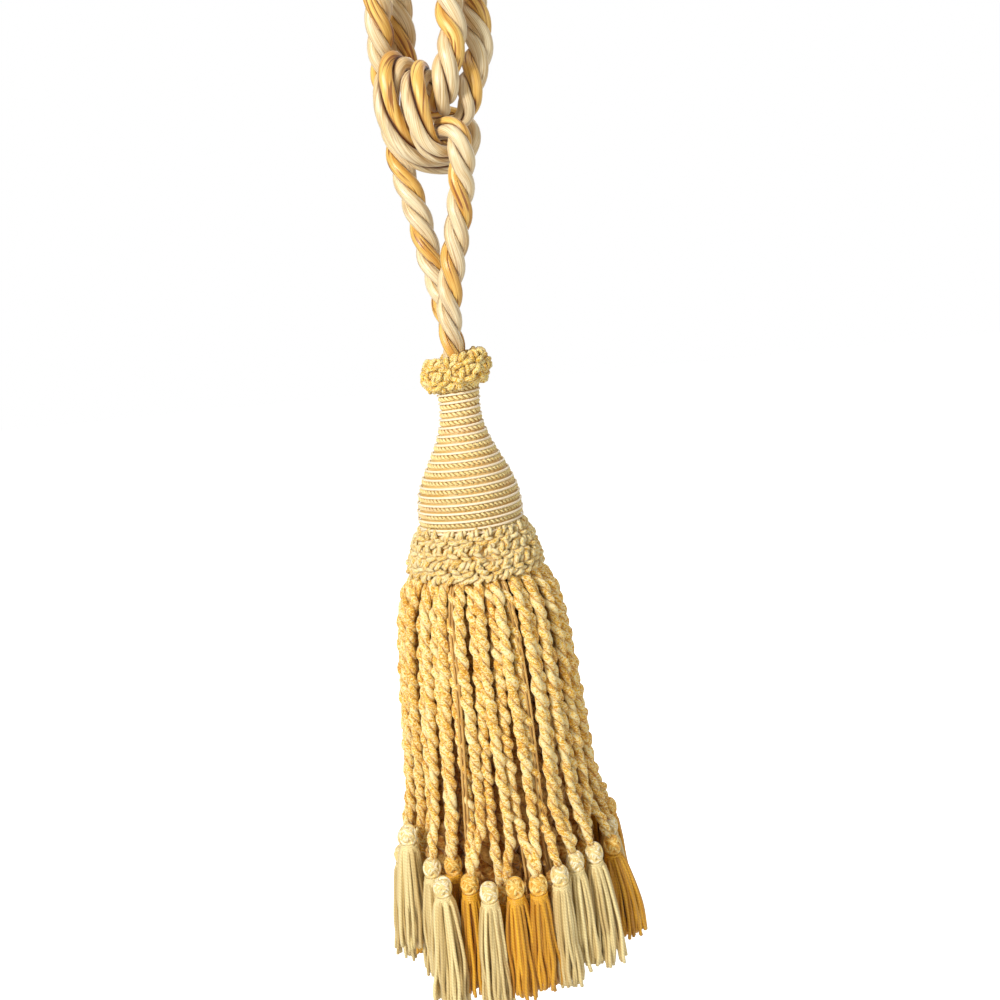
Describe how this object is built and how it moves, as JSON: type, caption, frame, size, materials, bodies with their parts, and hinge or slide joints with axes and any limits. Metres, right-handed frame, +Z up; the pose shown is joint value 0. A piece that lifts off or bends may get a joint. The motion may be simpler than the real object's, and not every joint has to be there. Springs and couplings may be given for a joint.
{
  "type": "curtain tieback tassel",
  "caption": "Hanging tieback tassel: twisted satin rope with a wrapped knot and two ears, cord-wound mould, knotted ruffs, bullion skirt and small cream and gold tassels.",
  "frame": {"origin": "where the two rope ears hang, inside the top of their bights, on the tassel's axis", "axes": "+Z up along the hanging tassel, -Y towards the viewer with the knot's turns, +X to the viewer's right"},
  "size_m": [0.0963, 0.0982, 0.3994],
  "materials": {
    "satin_rope": "glossy satin yarn in cream and amber plies",
    "ruff_yarn": "knotted cord of gold flecked with cream",
    "mould_cord": "wound thin cord, gold twist beside a plain cream cord",
    "bullion": "twisted yarn of gold flecked with cream",
    "tassel_cream": "soft sheen cream yarn",
    "tassel_gold": "soft sheen gold yarn"
  },
  "bodies": {
    "root": {"rope": "satin_rope", "neck_ruff": "ruff_yarn", "mould": "mould_cord", "lower_ruff": "ruff_yarn", "bullion_skirt": "bullion", "mini_tassel_01": "tassel_cream", "mini_tassel_02": "tassel_gold", "mini_tassel_03": "tassel_cream", "mini_tassel_04": "tassel_cream", "mini_tassel_05": "tassel_gold", "mini_tassel_06": "tassel_gold", "mini_tassel_07": "tassel_cream", "mini_tassel_08": "tassel_gold", "mini_tassel_09": "tassel_gold", "mini_tassel_10": "tassel_gold", "mini_tassel_11": "tassel_cream", "mini_tassel_12": "tassel_cream", "mini_tassel_13": "tassel_cream", "mini_tassel_14": "tassel_gold", "mini_tassel_15": "tassel_gold", "mini_tassel_16": "tassel_cream", "mini_tassel_17": "tassel_gold", "mini_tassel_18": "tassel_gold", "mini_tassel_19": "tassel_cream", "mini_tassel_20": "tassel_cream", "mini_tassel_21": "tassel_cream", "mini_tassel_22": "tassel_gold", "mini_tassel_23": "tassel_gold", "mini_tassel_24": "tassel_cream", "mini_tassel_25": "tassel_cream", "mini_tassel_26": "tassel_cream", "mini_tassel_27": "tassel_gold", "mini_tassel_28": "tassel_gold", "mini_tassel_29": "tassel_cream", "mini_tassel_30": "tassel_cream"}
  },
  "joints": []
}
